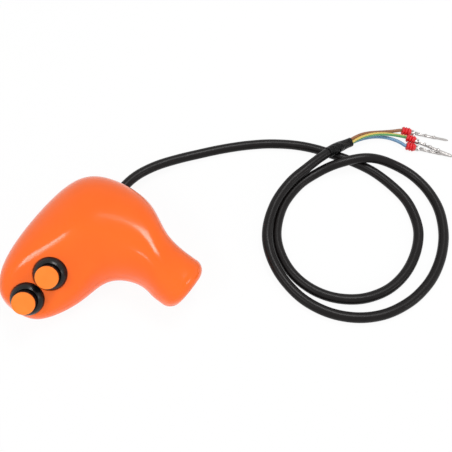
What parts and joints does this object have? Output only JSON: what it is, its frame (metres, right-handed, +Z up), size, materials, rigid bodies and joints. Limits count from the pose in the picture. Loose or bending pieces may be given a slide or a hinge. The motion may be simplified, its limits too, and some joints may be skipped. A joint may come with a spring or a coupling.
{
  "type": "push-button control lever grip",
  "caption": "Palm-shaped control lever grip with round push buttons in its face, a screwed lever socket and a free cable with sealed crimp contacts.",
  "frame": {"origin": "on the floor below the middle of the grip, which lies on its flat belly as in the picture", "axes": "+Z up, +X from the rounded palm end towards the neck end, +Y from the button side towards the cable's exit"},
  "size_m": [0.2831, 0.1469, 0.0474],
  "materials": {
    "grip": "moulded orange plastic, polished",
    "button_cap": "moulded orange plastic, satin",
    "black_plastic": "moulded black nylon",
    "white_plastic": "natural acetal",
    "black_rubber": "moulded rubber",
    "cable_sheath": "extruded PVC sheath",
    "shrink_sleeve": "shrunk polyolefin sleeve",
    "brown_wire": "extruded PVC insulation",
    "green_wire": "extruded PVC insulation, green with a yellow stripe",
    "blue_wire": "extruded PVC insulation",
    "seal_rubber": "silicone rubber",
    "contact_metal": "tin plated copper alloy",
    "brass": "stamped brass",
    "insert_metal": "turned aluminium",
    "nut_metal": "nickel plated",
    "screw_steel": "zinc plated steel",
    "spring_steel": "spring wire"
  },
  "bodies": {
    "grip": {"front_shell": "grip", "rear_shell": "grip", "shell_screws": "screw_steel", "lever_insert": "insert_metal", "cable_grommet": "black_rubber", "cable_clamp": "black_plastic", "clamp_screws": "screw_steel", "housing_1": "black_plastic", "seal_ring_1": "black_rubber", "lock_nut_1": "nut_metal", "return_spring_1": "spring_steel", "base_1": "black_plastic", "terminal_a_1": "brass", "terminal_b_1": "brass", "housing_2": "black_plastic", "seal_ring_2": "black_rubber", "lock_nut_2": "nut_metal", "return_spring_2": "spring_steel", "base_2": "black_plastic", "terminal_a_2": "brass", "terminal_b_2": "brass", "inner_wire_brown": "brown_wire", "inner_wire_blue": "blue_wire", "inner_wire_green": "green_wire", "link_wire": "brown_wire", "cable": "cable_sheath", "heat_shrink": "shrink_sleeve", "core_brown": "brown_wire", "core_green": "green_wire", "core_blue": "blue_wire", "wire_seal_1": "seal_rubber", "wire_seal_2": "seal_rubber", "wire_seal_3": "seal_rubber", "contact_1": "contact_metal", "contact_2": "contact_metal", "contact_3": "contact_metal"},
    "button_1": {"cap_1": "black_plastic", "cap_face_1": "button_cap", "plunger_1": "white_plastic", "bridge_1": "brass"},
    "button_2": {"cap_2": "black_plastic", "cap_face_2": "button_cap", "plunger_2": "white_plastic", "bridge_2": "brass"}
  },
  "joints": [
    {"name": "button_1_press", "type": "slide", "parent": "grip", "child": "button_1", "axis": [-0.0605, 0.6399, -0.766], "range_m": [0, 0.0025], "stiffness_N_per_m": 400, "springref_m": -0.004, "deforming": ["return_spring_1"]},
    {"name": "button_2_press", "type": "slide", "parent": "grip", "child": "button_2", "axis": [-0.0605, 0.6399, -0.766], "range_m": [0, 0.0025], "stiffness_N_per_m": 400, "springref_m": -0.004, "deforming": ["return_spring_2"]}
  ]
}
